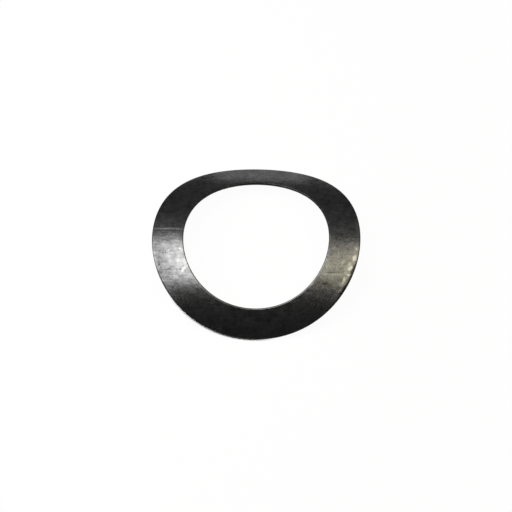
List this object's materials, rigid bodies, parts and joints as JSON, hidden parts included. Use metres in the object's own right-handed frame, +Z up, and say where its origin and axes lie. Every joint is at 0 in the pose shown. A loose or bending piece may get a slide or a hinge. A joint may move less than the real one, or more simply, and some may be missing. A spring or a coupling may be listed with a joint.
{
  "type": "wave washer",
  "caption": "Curved single-wave spring washer: a ring of blackened spring steel bent about one axis, to take up end play on a shaft.",
  "frame": {"origin": "centre of the hole, on the surface that the two legs stand on", "axes": "+X along the crest of the arch, +Y towards one leg, +Z up, out of the convex side"},
  "size_m": [0.0196, 0.018, 0.0036],
  "materials": {
    "blackened_spring_steel": "black oxide over cold-rolled spring steel, oiled, with light rubbing"
  },
  "bodies": {
    "root": {"wave_washer": "blackened_spring_steel"}
  },
  "joints": []
}
